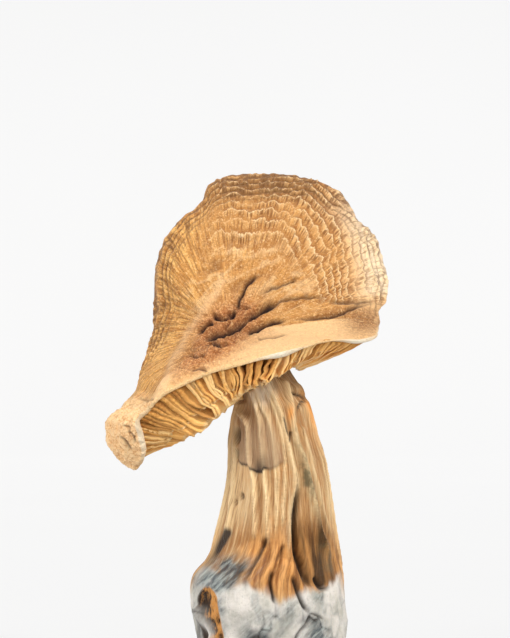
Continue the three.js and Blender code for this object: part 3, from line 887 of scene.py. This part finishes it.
def grey_skin(at):
    """Grey skin between the upper ribs, that ends below in a dark edge."""
    u, v = at.u, at.v
    low = np.interp(u, GREY_EDGE[:, 0], GREY_EDGE[:, 1]) + 0.15 * noise(151, u * 2.5)
    patch = step(-5.5, -5.0, u) * step(1.9, 0.4, u + 0.3 * (v - 36)) * at.facing
    grey = patch * step(low - 0.12, low + 0.25, v) * step(43.5, 37.0, v)
    lip = patch * bump(v - low - 0.12, 0.24) * (0.35 + 0.65 * step(-0.3, -1.2, u))
    blot = patch * step(low - 0.1, low + 0.2, v) * bump(u + 1.9, 1.3) * step(low + 3.2, low + 0.3, v)
    return grey, 0.9 * lip + 0.85 * blot * step(-3.1, -2.0, u)


def foot_colours(at):
    """Brown above the foot, white on it, and the blue-black bruises on the white."""
    u, v = at.u, at.v
    brown = step(26.0, 18.5, v) * step(12.0, 15.5, v + 1.5 * noise(153, u * 0.5, v * 0.3))
    brown = mix(0.7 * brown, brown * step(-6.0, -2.5, u), at.facing)
    deep_brown = at.facing * bump((u - 6.3) - (22 - v) * 0.12, 2.6) * step(28, 21, v) * step(13.6, 15.6, v)
    streaks = rough(157, 3, (u - (22 - v) * 0.14) * 1.5, v * 0.16)
    back_edge = at.z + 3.2 * rough(155, 3, 2.4 * at.round_x, 2.4 * at.round_y, at.z * 0.1)
    edge = np.interp(u, WHITE_EDGE[:, 0], WHITE_EDGE[:, 1]) + 0.9 * rough(156, 3, u * 1.1, v * 0.25)
    white = mix(step(16.2, 12.6, back_edge), step(edge + 0.8, edge - 0.8, v), at.facing)

    blue = step(0.0, 0.5, rough(161, 3, at.x * 0.13, at.y * 0.13, at.z * 0.17)) * white * 0.85 * (1 - at.facing)
    bruised = 0.9 + rough(163, 4, (u + v * 0.5) * 0.5, (v - u * 0.5) * 0.8)
    scratched = 1.2 + 0.9 * rough(167, 3, (u - v) * 0.9, (u + v) * 0.22)
    slanted = bump((u + 7.2) - (v - 16.8) * 0.5, 4.2) * step(13.4, 15.4, v) * step(20.2, 17.6, v)
    blue = blue + at.facing * bruised * (scratched * slanted + spots(u, v, BRUISES))
    black = at.facing * spots(u, v, BLACK_SPOTS) * step(0.2, 0.7, bruised)
    vein = folds(169, 3, at.x * 0.22, at.y * 0.22, at.z * 0.13)
    black = black + 0.6 * (1 - at.upper) * step(0.93, 1.0, vein) * step(0.15, 0.5, blue)
    return black, {
        "brown": brown + 0.6 * deep_brown,
        "deep_brown": deep_brown * (0.95 + 1.2 * streaks),
        "white": white,
        "blue": blue + 0.35 * white * step(0.8, 1.0, vein),
    }


def upper_stains(at):
    """The orange crest at the right, chalky skin under the gills and olive stains."""
    u, v = at.u, at.v
    off, along = beside_line(u, v, ORANGE_CREST)
    orange = 1.4 * bump(off - 0.1, 0.4) * step(0, 0.15, along) * step(1.0, 0.7, along)
    orange = orange + 0.8 * spot(u, v, 2.7, 40.9, 0.3, 1.2)
    chalk = spot(u, v, -1.7, 43.6, 1.7, 1.9, -0.25) * step(-0.7, 0.2, noise(171, u * 2.2, v * 0.6))
    mottle = 0.35 + 0.8 * step(-0.3, 0.4, rough(165, 3, u * 1.6, v * 1.2))
    return {
        "orange": at.facing * orange,
        "chalk": at.facing * chalk,
        "stain": at.facing * spots(u, v, OLIVE_STAINS) * mottle,
    }


def stem_relief(turn, z, place):
    """How far the stem's surface stands out, and the masks that its colour follows."""
    at = StemPlace(turn, z, place)
    ribs, rib_highlights = front_ribs(at.u, at.v)
    own, fine = back_ribs(at)
    cuts, dark = grooves_and_holes(at)
    lumps, torn_masks = foot_relief(at)
    grey, grey_edge = grey_skin(at)
    black, foot_masks = foot_colours(at)
    height = mix(own, ribs * 1.35, at.facing) * at.upper - 0.4 * at.upper
    height = height + 0.06 * fine * mix(0.45, 1.0, at.upper) + cuts + lumps + 0.14 * grey
    cream = 0.55 * bump(at.u + 4.8, 1.9) * step(21.5, 25.5, at.v) * step(37, 33, at.v)
    cream = cream + 0.5 * spot(at.u, at.v, -2.0, 43.6, 2.4, 2.0)
    masks = {
        # Painted shade in the grooves and holes, together with the foot's black spots and veins and the grey
        # skin's dark lower edge.
        "dark": dark + grey_edge + black,
        # Painted highlights on the ribs' tops all round, and the cream patches on the front.
        "ribs": np.clip(mix(own * 1.2, 0.35 * ribs + rib_highlights + cream, at.facing), 0, 1) * at.upper,
        # Painted shade in the hollows between the ribs.
        "valley_shade": np.clip(1 - 2.2 * mix(own, ribs, at.facing), 0, 1) * at.upper,
        "grey": grey,
        **torn_masks, **foot_masks, **upper_stains(at),
    }
    return height, {label: np.clip(values, 0, 1) for label, values in masks.items()}


def build_stem():
    sides, rings, cut_rings = 416, 226, 6
    turn = np.arange(sides) / sides
    angle = 2 * math.pi * turn
    climb = np.linspace(0, 1, rings)

    # Each side runs up into the cap's flesh.
    middle, half = stem_line(np.full(sides, STEM_HEIGHT + 6.0))
    top_x = middle + half * np.cos(angle) - CAP_CENTRE[0]
    top_y = STEM_TOP[1] + half * STEM_DEPTH_SHARE * np.sin(angle) - CAP_CENTRE[1]
    top_z = CAP_CENTRE[2] - FLESH_AT_CENTRE * 1.25 + CENTRE_SLOPE[0] * top_x + CENTRE_SLOPE[1] * top_y
    top_z = np.minimum(top_z, STEM_HEIGHT + 12.0)
    plain_z = climb[:, None] * (STEM_HEIGHT + 5.0)
    z = plain_z + (top_z - STEM_HEIGHT - 5.0) * step(0.8, 1.0, climb)[:, None]

    middle, half = stem_line(z)
    back = STEM_TOP[1] * np.clip(z / STEM_HEIGHT, 0, 1)
    turns = np.broadcast_to(turn, z.shape)
    outward = np.stack([np.cos(angle), np.sin(angle) * STEM_DEPTH_SHARE, np.zeros(sides)], axis=1)
    axis = np.stack([middle, back, z], axis=-1)
    bulges = 0.375 * np.sin((turn * 3 + 0.2) * 2 * math.pi) * np.clip(0.6 - z / STEM_HEIGHT, 0, 1)
    side = np.cos(angle)
    # The outline that the photo shows, next to the CAD's: how far in the sides come.
    right_trim = 0.5 * bump(z - 22.0, 12.0) + 0.4 * bump(z - 39.0, 3.0) - 0.4 * bump(z - 44.8, 1.6)
    trim = step(0.2, 0.9, side) * right_trim + step(-0.2, -0.9, side) * 0.55 * bump(z - 18.6, 2.4)
    place = axis + outward * (half + bulges - trim)[..., None]
    height, masks = stem_relief(turns, z, place)
    height = height * step(0.0, 0.01, climb)[:, None] * (1 - step(0.96, 1.0, climb))[:, None]
    place = place + outward * height[..., None]

    # The cut end, a little rough but level where it rests, and the hidden top.
    share = np.linspace(1, 0, cut_rings + 1)[1:-1]
    cut = place[0] * np.array([1, 1, 0]) * share[:, None, None]
    ends = [[0, 0, 0], axis[-1].mean(axis=0)]
    points = np.concatenate([cut[::-1].reshape(-1, 3), place.reshape(-1, 3), ends])
    rows = len(share) + rings
    count = rows * sides
    # Rows climb, so the faces of ring_faces point inward here and are turned round.
    faces = [ring_faces(rows, sides)[:, ::-1],
             fan_faces(np.arange(sides), count, False),
             fan_faces(np.arange(count - sides, count), count + 1, True)]
    cut_count = len(share) * sides
    attributes = {"cut": np.concatenate([np.ones(cut_count), np.zeros(rings * sides), [1, 0]])}
    for label, values in masks.items():
        attributes[label] = np.concatenate([np.zeros(cut_count), values.ravel(), [0, 0]])
    around = np.stack([np.cos(angle), np.sin(angle)], axis=1) * 8
    grain = np.column_stack([np.tile(around, (rows, 1)), np.concatenate([np.zeros(cut_count), z.ravel()])])
    attributes["grain"] = np.vstack([grain, [[0, 0, 0], [0, 0, STEM_HEIGHT]]])
    return make_mesh("stem_flesh", points, faces, attributes)


# ------------------------------------------------------------------ materials

def linear(red, green, blue):
    """A colour given as 0 to 255 screen values, as a shader wants it."""
    parts = [c / 255 for c in (red, green, blue)]
    return tuple(c / 12.92 if c <= 0.04045 else ((c + 0.055) / 1.055) ** 2.4 for c in parts) + (1.0,)


class Shading:
    """A material's node tree, with short ways to add to it.

    A value may be a number, a node's output or the name of a vertex mask, and a colour may be three
    screen values.
    """

    def __init__(self, name):
        self.material = bpy.data.materials.new(name)
        self.material.use_nodes = True
        self.tree = self.material.node_tree
        self.shader = self.tree.nodes["Principled BSDF"]
        self.colour = None

    def join(self, inputs, values):
        """Sets or links a node's inputs, given by name or number."""
        for key, value in values.items():
            if isinstance(value, str):
                value = self.node("ShaderNodeAttribute", attribute_name=value).outputs["Fac"]
            if isinstance(value, bpy.types.NodeSocket):
                self.tree.links.new(value, inputs[key])
            else:
                inputs[key].default_value = value

    def node(self, kind, inputs={}, **settings):
        made = self.tree.nodes.new(kind)
        for key, value in settings.items():
            setattr(made, key, value)
        self.join(made.inputs, inputs)
        return made

    def grain(self):
        """The direction that the fibres run in, as the piece's mesh gives it."""
        return self.node("ShaderNodeAttribute", attribute_name="grain").outputs["Vector"]

    def math(self, kind, a, b=0.0):
        return self.node("ShaderNodeMath", {0: a, 1: b}, operation=kind).outputs[0]

    def plus(self, first, *others):
        for other in others:
            first = self.math("ADD", first, other)
        return first

    def minus(self, a, b):
        return self.math("SUBTRACT", a, b)

    def times(self, first, *others):
        for other in others:
            first = self.math("MULTIPLY", first, other)
        return first

    def off_middle(self, value):
        """How far a noise or a fraction is from one half."""
        return self.math("ABSOLUTE", self.minus(value, 0.5))

    def stretch(self, vector, scale):
        return self.node("ShaderNodeVectorMath", {0: vector, 1: scale}, operation="MULTIPLY").outputs[0]

    def place(self):
        """Object coordinates in millimetres."""
        return self.stretch(self.node("ShaderNodeTexCoord").outputs["Object"], (1 / MM,) * 3)

    def noise(self, vector, scale, detail=3.0, roughness=0.55):
        inputs = {"Vector": vector, "Scale": scale, "Detail": detail, "Roughness": roughness}
        return self.node("ShaderNodeTexNoise", inputs).outputs["Fac"]

    def fibres(self, vector, squeeze, scale, detail, roughness):
        """Noise drawn out along the vector's third axis."""
        return self.noise(self.stretch(vector, (1, 1, squeeze)), scale, detail, roughness)

    def ramp(self, value, low, high):
        """0 where value is low, and 1 where it is high."""
        inputs = {"Value": value, "From Min": low, "From Max": high}
        return self.node("ShaderNodeMapRange", inputs, interpolation_type="SMOOTHSTEP").outputs["Result"]

    def mix(self, share, a, b):
        a, b = (linear(*value) if isinstance(value, tuple) else value for value in (a, b))
        made = self.node("ShaderNodeMix", data_type="RGBA")
        self.join(made.inputs, {"Factor": share, "A": a, "B": b})
        return made.outputs["Result"]

    def blend(self, value, low, high, a, b):
        """Colour a where value is low, and b where it is high."""
        return self.mix(self.ramp(value, low, high), a, b)

    def tint(self, share, strength, other):
        """Turns the colour towards another, by share times strength."""
        self.colour = self.mix(self.times(share, strength), self.colour, other)

    def finish(self, roughness, height, depth, sheen=0.0, through=0.0):
        relief = self.node("ShaderNodeBump", {"Strength": 0.9, "Distance": depth * MM, "Height": height})
        self.join(self.shader.inputs, {
            "Base Color": self.colour, "Roughness": roughness, "Specular IOR Level": 0.25,
            "Sheen Weight": sheen, "Subsurface Weight": through, "Subsurface Radius": (1.0, 0.5, 0.25),
            "Subsurface Scale": 0.6 * MM, "Normal": relief.outputs["Normal"]})
        return self.material


def tint_skin(s, place, streak, speck):
    """The cap's colours from place to place: straw, pale, browned, and red in the pit, with painted shade in
    the hollows, painted light on the lobe and the right-hand side, and painted highlights on the folds.
    """
    s.colour = s.blend(streak, 0.34, 0.64, (170, 110, 48), (222, 164, 92))
    s.tint(s.ramp(s.noise(place, 0.35, 4.0, 0.6), 0.35, 0.7), 1.0, (202, 142, 74))
    s.tint("left", 0.85, s.blend(streak, 0.35, 0.62, (196, 130, 54), (242, 186, 106)))
    # Painted shade in the hollows.
    s.tint("hollow", 0.6, (168, 102, 38))
    # Paler skin, with painted light on the lobe and the right-hand side.
    s.tint("pale", 0.85, (255, 212, 158))
    # Painted light along the right-hand rim.
    s.tint("right_rim_light", 1.0, (255, 236, 204))
    # Painted highlights on the tops of the folds and wrinkles.
    s.tint("crest", 0.7, (252, 218, 168))
    s.tint("browned", 0.9, (160, 106, 54))
    upright = s.ramp(s.fibres(place, 0.2, 2.4, 2.0, 0.6), 0.46, 0.6)
    s.tint(s.times(upright, "browned"), 0.6, (108, 66, 28))
    worm = s.ramp(s.off_middle(s.noise(place, 0.95, 2.0, 0.6)), 0.05, 0.0)
    s.tint(s.times(worm, "lobe"), 0.6, (196, 124, 56))
    s.tint("red", 0.85, s.blend(speck, 0.3, 0.7, (154, 80, 34), (222, 148, 84)))
    # Painted shade in the pit's crumpled hollows.
    s.tint("pit", 0.8, (100, 44, 14))


def tint_grains(s, grains, speck):
    """Lighter and darker grains. The dark ones are faint on pale skin."""
    bare = s.minus(1.0, s.times("pale", 0.75))
    s.tint(s.ramp(grains, 0.54, 0.7), 0.4, (246, 200, 136))
    s.tint(s.times(s.ramp(grains, 0.46, 0.32), bare), 0.5, (136, 80, 28))
    s.tint(s.ramp(speck, 0.53, 0.68), 0.55, (255, 220, 164))
    s.tint(s.times(s.ramp(speck, 0.46, 0.32), bare), 0.5, (124, 74, 28))


def tint_terraces(s, shake, comb, speck):
    """On each terrace: a jagged painted highlight along the crest, a painted shadow outside it, painted light
    growing towards the crest, and close bars inside it.
    """
    stage = s.math("FRACT", s.plus("phase", s.times(shake, 0.8)))
    shade = s.times(s.ramp(stage, 0.02, 0.1), s.ramp(stage, 0.5, 0.12))
    # Painted shadow just outside each crest.
    s.tint(s.times(shade, "strength"), 0.6, (140, 84, 32))
    # Painted light, growing towards each crest.
    s.tint(s.times(s.ramp(stage, 0.3, 0.9), "strength"), 0.45, (244, 200, 140))
    inside = s.mix("strength", (255, 255, 255), s.ramp(stage, 0.15, 0.6))
    bars = s.times(s.ramp(comb, 0.48, 0.6), "hatch", inside, s.minus(1.0, s.times("right_rim_light", 0.7)))
    s.tint(bars, 0.85, (128, 76, 28))
    # Painted highlight along each crest.
    ridge = s.math("MAXIMUM", s.ramp(stage, 0.84, 0.96), s.ramp(stage, 0.07, 0.0))
    s.tint(s.times(ridge, s.ramp(speck, 0.36, 0.56), "strength"), 0.85, (255, 226, 178))


def tint_rim(s, grain, shake, grains):
    """Brown lines along the rim, and threads across them."""
    wave = s.math("FRACT", s.plus("hem_wave", s.times(shake, 0.6)))
    thread = s.ramp(s.off_middle(s.fibres(grain, 0.05, 0.9, 1.0, 0.5)), 0.045, 0.008)
    lines = s.math("MAXIMUM", s.ramp(s.off_middle(wave), 0.2, 0.06), thread)
    s.tint(s.times(lines, s.ramp(grains, 0.34, 0.56), "hem"), 0.8, (108, 66, 28))
    s.tint("plaid", 0.8, (112, 74, 36))


def cap_material():
    s = Shading("dried_cap_skin")
    place, grain = s.place(), s.grain()
    streak = s.fibres(grain, 0.12, 1.9, 4.0, 0.65)
    fine_streak = s.fibres(grain, 0.12, 2.3, 2.0, 0.6)
    comb = s.fibres(grain, 0.09, 3.7, 1.0, 0.5)
    grains = s.noise(place, 1.5, 4.0, 0.7)
    speck = s.noise(place, 3.4, 3.0, 0.7)
    shake = s.minus(fine_streak, 0.5)
    tint_skin(s, place, streak, speck)
    tint_grains(s, grains, speck)
    tint_terraces(s, shake, comb, speck)
    tint_rim(s, grain, shake, grains)
    # Painted shade in the creases, the pit and the hollows, darkest along the creases' middles.
    s.tint("dark", 0.95, (70, 36, 20))
    s.tint("crease_core_shade", 0.95, (30, 14, 8))
    flesh = s.blend(speck, 0.35, 0.7, (226, 190, 138), (206, 162, 106))
    s.tint("cream", 1.0, s.mix("white", flesh, (244, 230, 204)))
    s.tint("under", 1.0, (160, 112, 60))
    height = s.plus(s.times(fine_streak, 0.5), s.times(speck, 0.7), s.times("red", grains, 1.4))
    height = s.minus(height, s.times(comb, "hatch", 0.6))
    return s.finish(s.ramp(speck, -0.6, 1.4), height, 0.6, sheen=0.05, through=0.02)


def gill_material():
    s = Shading("dried_gills")
    place = s.place()
    fine = s.noise(place, 2.2, 4.0, 0.6)
    # Painted shade: each gill is darker towards its root under the cap.
    s.colour = s.blend("deep", 0.0, 0.9, (172, 108, 42), (238, 180, 104))
    s.tint(s.ramp(fine, 0.35, 0.7), 1.0, (230, 170, 90))
    s.tint(s.ramp(s.noise(place, 0.35, 3.0), 0.5, 0.7), 0.5, (158, 100, 44))
    s.tint(s.ramp("own", 0.45, 0.9), 0.55, (140, 86, 36))
    s.tint(s.ramp("own", 0.35, 0.05), 0.6, (255, 214, 148))
    s.tint(s.ramp("deep", 0.93, 1.0), 1.0, (242, 200, 140))
    return s.finish(0.78, fine, 0.2, through=0.08)


def bruise_colour(s, place):
    """Blue-black and grey, brushed on a slant."""
    slanted = s.node("ShaderNodeVectorRotate", {"Vector": place, "Angle": 0.75}, rotation_type="Y_AXIS")
    brushed = s.noise(s.stretch(slanted.outputs["Vector"], (0.35, 1, 2.2)), 0.9, 4.0, 0.65)
    return s.blend(brushed, 0.38, 0.68, (44, 56, 64), (146, 154, 150))


def stem_material():
    s = Shading("dried_stem")
    place, grain = s.place(), s.grain()
    streak = s.fibres(grain, 0.1, 1.6, 4.0, 0.6)
    fine_streak = s.fibres(grain, 0.07, 4.2, 3.0, 0.6)
    fibre = s.fibres(grain, 0.05, 2.7, 3.0, 0.7)
    mottle = s.noise(place, 0.3, 4.0, 0.6)
    speck = s.noise(place, 2.6, 3.0, 0.65)
    s.colour = s.blend(streak, 0.35, 0.65, (156, 114, 70), (202, 168, 120))
    s.tint(s.ramp(mottle, 0.5, 0.72), 1.0, (188, 134, 76))
    # Painted shade in the hollows between the ribs.
    s.tint("valley_shade", 0.55, (162, 108, 56))
    # Painted highlights on the ribs' tops, and the cream patches.
    s.tint("ribs", 0.8, (228, 198, 150))
    s.tint(s.ramp(fibre, 0.53, 0.62), 0.35, (238, 212, 168))
    s.tint(s.ramp(fibre, 0.46, 0.38), 0.45, (128, 84, 42))
    s.tint("chalk", 0.75, (238, 224, 202))
    s.tint("orange", 0.9, (222, 140, 46))
    s.tint("grey", 0.6, (150, 122, 96))
    s.tint("brown", 0.85, s.blend(streak, 0.36, 0.6, (130, 76, 24), (214, 150, 80)))
    s.tint("deep_brown", 1.0, (64, 38, 2))
    s.tint("stain", 0.85, (88, 80, 54))
    s.tint("white", 1.0, s.blend(mottle, 0.35, 0.7, (212, 205, 196), (172, 168, 156)))
    s.tint("blue", 0.9, bruise_colour(s, place))
    # The torn hollow: painted shade in its depths, with orange-brown torn fibres across it.
    shreds = s.plus(s.fibres(place, 0.3, 1.7, 4.0, 0.7), s.times("torn", 0.3))
    s.tint("hollow", 1.0, s.blend(shreds, 0.5, 0.8, (48, 32, 20), (196, 136, 70)))
    s.tint(s.times(s.ramp(fine_streak, 0.54, 0.68), s.minus(1.0, "white")), 0.42, (104, 70, 36))
    s.tint(s.times(s.ramp(speck, 0.44, 0.28), "white"), 0.4, (120, 116, 106))
    # Painted shade in the grooves and holes, and the black spots on the foot.
    s.tint("dark", 0.95, (40, 30, 24))
    s.tint("cut", 1.0, s.blend(speck, 0.35, 0.65, (222, 206, 180), (190, 168, 138)))
    height = s.plus(s.times(fine_streak, 0.6), s.times(speck, 0.35), s.times(fibre, 0.8))
    return s.finish(s.ramp(speck, -0.9, 1.4), height, 0.25, sheen=0.03, through=0.05)


def floor_material():
    s = Shading("pale_floor")
    tone = s.plus(s.times(s.noise(s.place(), 0.01, 2.0), 0.01), 0.1)
    s.join(s.shader.inputs, {
        "Base Color": tone, "Roughness": 0.9, "Specular IOR Level": 0.1,
        "Emission Color": (1, 1, 1, 1), "Emission Strength": 0.755})
    return s.material


# ------------------------------------------------------------------ the studio

def build_floor():
    """A round floor that curves up into a wall on all sides."""
    reach, rise, curve, sides = 950.0, 330.0, 240.0, 96
    profile = [(0.5, 0.0), (reach - curve, 0.0)]
    for part in range(1, 17):
        angle = part / 16 * math.pi / 2
        profile.append((reach - curve + curve * math.sin(angle), curve * (1 - math.cos(angle))))
    profile.append((reach, rise))
    angle = np.arange(sides) / sides * 2 * math.pi
    points = np.array([[r * math.cos(a), r * math.sin(a), z] for r, z in profile for a in angle])
    points = np.vstack([points, [[0, 0, 0]]])
    faces = [ring_faces(len(profile), sides), fan_faces(np.arange(sides), len(points) - 1, True)]
    piece = make_mesh("floor", points, faces, {})
    piece.data.materials.append(floor_material())
    piece.location.z = cad_low.z


def sun(name, towards, strength, softness, colour=(1, 1, 1)):
    light = bpy.data.lights.new(name, "SUN")
    light.energy = strength
    light.angle = math.radians(softness)
    light.color = colour
    lamp = bpy.data.objects.new(name, light)
    bpy.context.scene.collection.objects.link(lamp)
    lamp.rotation_euler = Vector(towards).to_track_quat("-Z", "Y").to_euler()


def build_studio():
    build_floor()
    world = bpy.data.worlds.new("studio")
    world.use_nodes = True
    world.node_tree.nodes["Background"].inputs["Color"].default_value = (1, 1, 1, 1)
    world.node_tree.nodes["Background"].inputs["Strength"].default_value = 0.55
    bpy.context.scene.world = world
    sun("key", (-0.6, 0.5, -0.72), 2.5, 12, (1.0, 0.98, 0.95))
    sun("fill", (0.75, 0.62, -0.55), 2.2, 40)
    camera = bpy.data.cameras.new("camera")
    camera.sensor_fit = "VERTICAL"
    camera.angle = 2 * math.atan(VIEW_HEIGHT / 2 / -EYE[1])
    camera.clip_start = 0.01
    holder = bpy.data.objects.new("camera", camera)
    bpy.context.scene.collection.objects.link(holder)
    holder.location = Vector(EYE) * MM
    holder.rotation_euler = (math.pi / 2, 0, 0)
    bpy.context.scene.camera = holder
    bpy.context.scene.view_settings.view_transform = "Standard"


def place_piece(piece, node, material):
    piece.data.materials.append(material)
    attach(piece, "root")
    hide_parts(node)


build_studio()
place_piece(build_cap(), "cap", cap_material())
place_piece(build_gills(), "gills", gill_material())
place_piece(build_stem(), "stem", stem_material())
